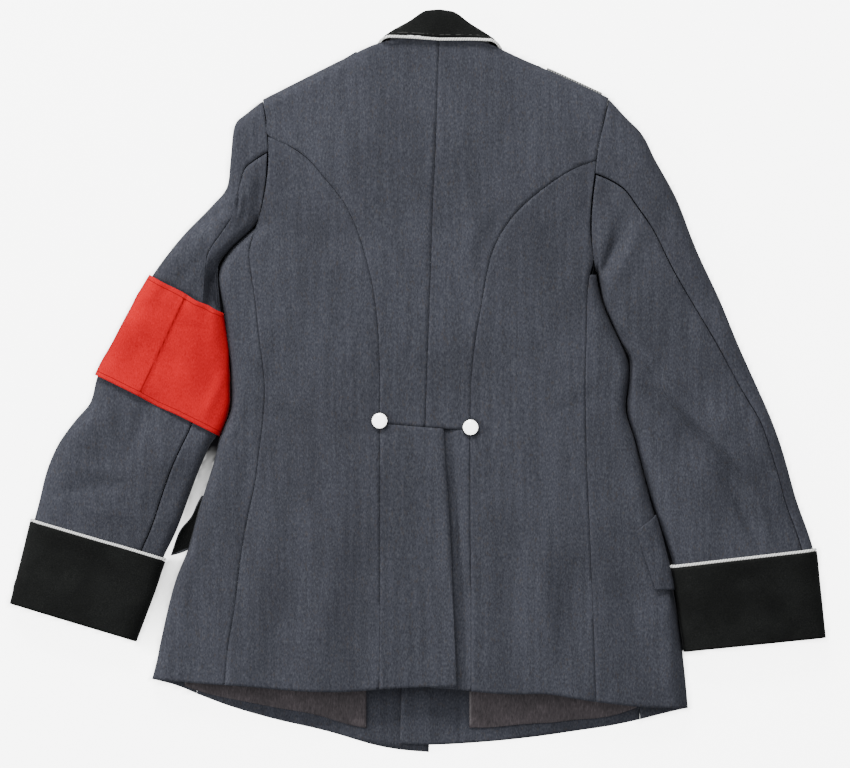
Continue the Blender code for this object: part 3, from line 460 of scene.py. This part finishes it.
# lifts a shell by its folds and writes down how far each place lies from the border, or from the seam of a lap
def foldCloth(mesh, near, shape, lap):
    border = mesh.attributes.new("border", "FLOAT", "POINT")
    moved = []
    for k, vert in enumerate(mesh.vertices):
        x, y, z = vert.co / mm
        gap = min(near.find(vert.co)[2] / mm, 20)
        if lap and z > upperLayer["from"]:
            gap = min(gap, bandCloth["stitches"][1] + 0.5 * abs(besideLine(x, y, lap)))
        border.data[k].value = gap
        lift = clothLift(vert.co)
        if shape:
            lift += shape(vert.co, gap)
        moved.append(vert.co + Vector((0, 0, lift * mm)))
    for vert, place in zip(mesh.vertices, moved):
        vert.co = place


# a finer shell on the form of one solid, which takes the solid's place
def clothFrom(nodeName, pieceName, finish, levels=2, shape=None, lap=None):
    piece, near = cageFrom(nodeName, pieceName)
    makeFiner(piece, levels)
    foldCloth(piece.data, near, shape, lap)
    piece.data.materials.clear()
    piece.data.materials.append(finish)
    piece.data.shade_smooth()
    piece.data.set_sharp_from_angle(angle=math.radians(shell["sharp"]))
    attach(piece, "root")
    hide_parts(nodeName)
    return piece


# how far a place lies to the left of a line that is walked from its first point to its second, in mm
def besideLine(x, y, line):
    startX, startY, endX, endY = line
    runX, runY = endX - startX, endY - startY
    return (runX * (y - startY) - runY * (x - startX)) / math.hypot(runX, runY)


# cloth turns in at a seam
seamTurn = {"depth": 0.12, "width": 2.5}


def seamDip(gap):
    return -seamTurn["depth"] * math.exp(-((gap / seamTurn["width"]) ** 2))


# one cloth's own folds with the turn at its seams; they start a little way in from its border
def bentShape(bends, start=0):
    def shape(place, gap):
        x, y, z = place / mm
        bend = foldHeight(x, y, bends) * (smooth(gap / start) if start else 1)
        return (seamDip(gap) + bend) * upperShare(z)
    return shape


# the floor that the tunic lies on: an even white sheet with painted shade between the sleeves and the body, beside the
# cloth, under it and in its neck opening
paperSheet = {"size": (1.12, 1.04), "cell": 0.005, "rim": 12, "below": 0.0002, "white": 6.0,
              "shade": (0.02, 0.02, 0.023),
              "still": 9.0, "gap": 26.0,  # mm to the body and to a sleeve, together, at which the painted shade is full and gone
              "foot": 5.0, "footShade": 0.45,  # soft painted shade this many mm beside the cloth
              "span": (-0.3, 0.28), "fade": 0.02,  # the stretch along the body whose gaps get painted shade, in m
              "neck": (-0.036, 0.0865, 0.38, 0.3985),  # the neck opening, where the floor is painted dark: left, right, low, high
              "seam": 14.0}
floorMesh = bpy.data.meshes.new("floor")
floor = bpy.data.objects.new("floor", floorMesh)
bpy.context.collection.objects.link(floor)
paper, tree, shader = newMaterial("paper", 0.9)
cloudy = rangeOf(tree, noiseOf(tree, 2.2, 2), 0.3, 0.7)
paperTone = mixOf(tree, cloudy, (0.86, 0.865, 0.88, 1), (0.9, 0.9, 0.905, 1))
# painted shade: the sheet's colour and its glow both go dark where it is less open
openness = addNode(tree, "ShaderNodeAttribute", attribute_name="open").outputs["Fac"]
tree.links.new(mixOf(tree, openness, (*paperSheet["shade"], 1), paperTone), shader.inputs["Base Color"])
tree.links.new(mixOf(tree, openness, (0, 0, 0, 1), (1, 1, 0.99, 1)), shader.inputs["Emission Color"])
shader.inputs["Emission Strength"].default_value = paperSheet["white"]
shader.inputs["Specular IOR Level"].default_value = 0.1
floorMesh.materials.append(paper)
floor.visible_diffuse = False  # the white of the sheet doesn't light the cloth's edges
floor.visible_glossy = False

# fronts: they lie lowest, face down, and only their inner side shows at the hem
front = {"nodes": ("front_left", "front_right"), "flat": (0.31, 0.84)}
fronts = []
for nodeName, name in zip(front["nodes"], ("frontLeftCloth", "frontRightCloth")):
    piece = clothFrom(nodeName, name, wool, 1)
    fronts.append(piece)
print("fronts made")

# lining: soft twill that puckers above the hem, in two waves like those of the body
lining = {"nodes": ("lining_left", "lining_right"), "flat": (0.23, 0.11), "pucker": 0.4, "still": 8,
          "waves": ((1, 8, 30, 1.3), (0.5, 22, 12, 5.1))}


def puckered(place, gap):
    x, y, z = place / mm
    waves = sum(waveHeight(x, y, wave) for wave in lining["waves"])
    return lining["pucker"] * smooth(gap / lining["still"]) * (1 + waves)


for nodeName, name, under in zip(lining["nodes"], ("liningLeft", "liningRight"), fronts):
    piece = clothFrom(nodeName, name, liningCloth, 3, puckered)
print("linings made")

# back, skirt and side panels
panels = (
    {"node": "side_left", "name": "sideLeft", "flat": (0.18, 0.53), "on": "floor"},
    {"node": "side_right", "name": "sideRight", "flat": (0.18, 0.53), "on": "floor"},
    {"node": "back_left", "name": "backLeft", "flat": (0.22, 0.47), "on": "frontLeftCloth"},
    {"node": "back_right", "name": "backRight", "flat": (0.22, 0.47), "on": "frontRightCloth"},
    {"node": "side_back_left", "name": "sideBackLeft", "flat": (0.19, 0.66), "on": "frontLeftCloth"},
    {"node": "side_back_right", "name": "sideBackRight", "flat": (0.16, 0.65), "on": "frontRightCloth"},
    {"node": "skirt_right", "name": "skirtRight", "flat": (0.07, 0.32), "on": "frontRightCloth",
     "bend": ((36, -58, 57, -410, 8, -3.2),)},
    {"node": "skirt_left", "name": "skirtLeft", "flat": (0.1, 0.32), "on": "skirtRight",
     "bend": ((28, -62, 48, -410, 11, 3.2),)},
)
body = []
for part in panels:
    piece = clothFrom(part["node"], part["name"], wool, 2, bentShape(part.get("bend", ())))
    body.append(piece)
print("panels made")

# sleeves
sleeves = (
    {"node": "sleeve_under_left", "name": "sleeveUnderLeft", "flat": (0.15, 0.56),
     "bend": ((-236, 130, -238, 74, 12, -14.0),)},  # it sinks above the armband, between its seam and the body
    {"node": "sleeve_upper_left", "name": "sleeveUpperLeft", "flat": (0.3, 0.66)},
    {"node": "sleeve_under_right", "name": "sleeveUnderRight", "flat": (0.28, 0.56)},
    {"node": "sleeve_upper_right", "name": "sleeveUpperRight", "flat": (0.3, 0.66)},
)
arms = []
for part in sleeves:
    piece = clothFrom(part["node"], part["name"], wool, 2, bentShape(part.get("bend", ()), 5))
    arms.append(piece)
print("sleeves made")

# pocket flaps
flaps = (
    {"node": "flap_right", "name": "flapRight", "flat": (0.055, 0.085), "on": "sideRight", "finish": wool,
     "slot": "wool"},
    {"node": "flap_left", "name": "flapLeft", "flat": (0.025, 0.085), "on": "floor", "finish": flapBlack,
     "slot": "black_wool"},
)
for part in flaps:
    piece = clothFrom(part["node"], part["name"], part["finish"], 3)

# cuffs
cuffs = (
    {"node": "cuff_left", "name": "cuffLeft", "flat": (0.38, 0.13), "on": "sleeveUpperLeft"},
    {"node": "cuff_right", "name": "cuffRight", "flat": (0.38, 0.13), "on": "sleeveUpperRight"},
)
for part in cuffs:
    piece = clothFrom(part["node"], part["name"], blackWool, 2)
    arms.append(piece)

# collar
collar = {"node": "collar", "name": "collarCloth", "flat": (0.5, 0.1)}
piece = clothFrom(collar["node"], collar["name"], collarWool, 2)

# armband: a stitched hem along each edge and one end lapped over the other
armband = {"node": "armband", "name": "armbandCloth", "flat": (0.37, 0.17), "hem": 5.2, "turn": 0.35, "turnWidth": 1.2,
           "lap": (-268.3, 99.9, -321.8, -13.9), "lapStep": 1.5, "lapWidth": 1.6,
           "creases": ((-250, -46, -217, 24, 7, 1.9), (-276, 66, -236, 58, 4, -0.8), (-262, 84, -232, 76, 4, 0.7),
                       (-330, 30, -300, 10, 6, 0.6), (-290, 20, -262, -16, 7, -0.6))}


def bandShape(place, gap):
    x, y, z = place / mm
    lift = armband["turn"] * (1 - smooth((gap - armband["hem"]) / armband["turnWidth"]))
    lift += armband["lapStep"] * smooth(0.5 - besideLine(x, y, armband["lap"]) / armband["lapWidth"])
    lift += foldHeight(x, y, armband["creases"])
    return lift * upperShare(z)


piece = clothFrom(armband["node"], armband["name"], redCotton, 3, bandShape, armband["lap"])
arms.append(piece)
print("collar, cuffs and armband made")

# cords and buttons keep their solids' shape
finishes = {"collar_piping": paleCord, "cuff_cord_left": paleCord, "cuff_cord_right": paleCord,
            "shoulder_board": boardCord}
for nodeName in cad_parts:
    finish = buttonMetal if "button" in nodeName else finishes.get(nodeName)
    if finish:
        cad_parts[nodeName].data.materials.clear()
        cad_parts[nodeName].data.materials.append(finish)
print("cords and buttons finished")


# finds how far any place is from a group of pieces, seen from above
def footprint(pieces):
    count = sum(len(piece.data.vertices) for piece in pieces)
    tree = KDTree(count)
    for piece in pieces:
        for vert in piece.data.vertices:
            tree.insert((vert.co.x, vert.co.y, 0), 0)
    tree.balance()
    return tree


# the floor's mesh: a fine sheet under the tunic with a wide plain rim, and how open each place of it lies, which sets
# its painted shade
bodyPrint, armPrint = footprint(body), footprint(arms)
width, depth = paperSheet["size"]
bm = bmesh.new()
bmesh.ops.create_grid(bm, x_segments=round(width / paperSheet["cell"]), y_segments=round(depth / paperSheet["cell"]),
                      size=0.5)
bmesh.ops.scale(bm, vec=(width, depth, 1), verts=bm.verts[:])
rim = bmesh.ops.extrude_edge_only(bm, edges=[edge for edge in bm.edges if edge.is_boundary])
outer = [part for part in rim["geom"] if isinstance(part, bmesh.types.BMVert)]
bmesh.ops.scale(bm, vec=(paperSheet["rim"], paperSheet["rim"], 1), verts=outer)
bmesh.ops.translate(bm, vec=(0, 0, -paperSheet["below"]), verts=bm.verts[:])
bmesh.ops.recalc_face_normals(bm, faces=bm.faces[:])
bm.to_mesh(floorMesh)
bm.free()


# the floor's cell at a place
def cellAt(x, y):
    return round(x / paperSheet["cell"]), round(y / paperSheet["cell"])


covered = set()
layers = bpy.context.evaluated_depsgraph_get()
for vert in floorMesh.vertices:
    if bpy.context.scene.ray_cast(layers, (vert.co.x, vert.co.y, 0.00001), (0, 0, 1))[0]:
        covered.add(cellAt(vert.co.x, vert.co.y))


# whether a place lies right under the garment or in its neck opening, where the floor is painted fully dark
def isUnder(x, y, reach):
    column, row = cellAt(x, y)
    left, right, low, high = paperSheet["neck"]
    inNeck = left < x < right and low < y < high
    shutIn = covered.issuperset(((column - 1, row), (column + 1, row), (column, row - 1), (column, row + 1)))
    return inNeck or shutIn or ((column, row) in covered and reach < paperSheet["seam"])


# 0 where the floor is painted fully dark and 1 where it is full white
def openAt(x, y):
    toBody, toArm = bodyPrint.find((x, y, 0))[2] / mm, armPrint.find((x, y, 0))[2] / mm
    if isUnder(x, y, toBody + toArm):
        return 0
    between = smooth((toBody + toArm - paperSheet["still"]) / paperSheet["gap"])
    beside = 1 - paperSheet["footShade"] * (1 - smooth(min(toBody, toArm) / paperSheet["foot"]))
    start, end = paperSheet["span"]
    return max(between, smooth((start - y) / paperSheet["fade"]), smooth((y - end) / paperSheet["fade"])) * beside


openShare = floorMesh.attributes.new("open", "FLOAT", "POINT")
for k, vert in enumerate(floorMesh.vertices):
    openShare.data[k].value = openAt(vert.co.x, vert.co.y)
print("floor made")

# light: an even room, a wide soft lamp beyond the collar and a weaker one from the left, which draws the folds
studio = {"room": 0.7, "air": (0.96, 0.98, 1.0),
          "lamps": (("softbox", (-0.8, 3.3, 2.2), (1.7, 0.9), 190), ("sideLamp", (-3.8, 0.4, 1.7), (1.4, 1.0), 118))}
world = bpy.data.worlds.new("room")
bpy.context.scene.world = world
world.use_nodes = True
world.node_tree.nodes["Background"].inputs["Color"].default_value = (*studio["air"], 1)
world.node_tree.nodes["Background"].inputs["Strength"].default_value = studio["room"]
for name, spot, size, power in studio["lamps"]:
    lamp = bpy.data.lights.new(name, "AREA")
    lamp.shape = "RECTANGLE"
    lamp.size, lamp.size_y = size
    lamp.energy = power
    lampObject = bpy.data.objects.new(name, lamp)
    lampObject.location = spot
    lampObject.rotation_euler = (-lampObject.location).to_track_quat("-Z", "Y").to_euler()
    bpy.context.collection.objects.link(lampObject)

# camera: straight above, a little right of the middle
photo = {"height": 8.0, "width": 0.9872, "middle": (0.0083, -0.0032), "sensor": 36}
camera = bpy.data.cameras.new("camera")
camera.sensor_width = photo["sensor"]
camera.lens = photo["sensor"] * photo["height"] / photo["width"]
cameraObject = bpy.data.objects.new("camera", camera)
cameraObject.location = (*photo["middle"], photo["height"])
bpy.context.collection.objects.link(cameraObject)
bpy.context.scene.camera = cameraObject

print("scene made")
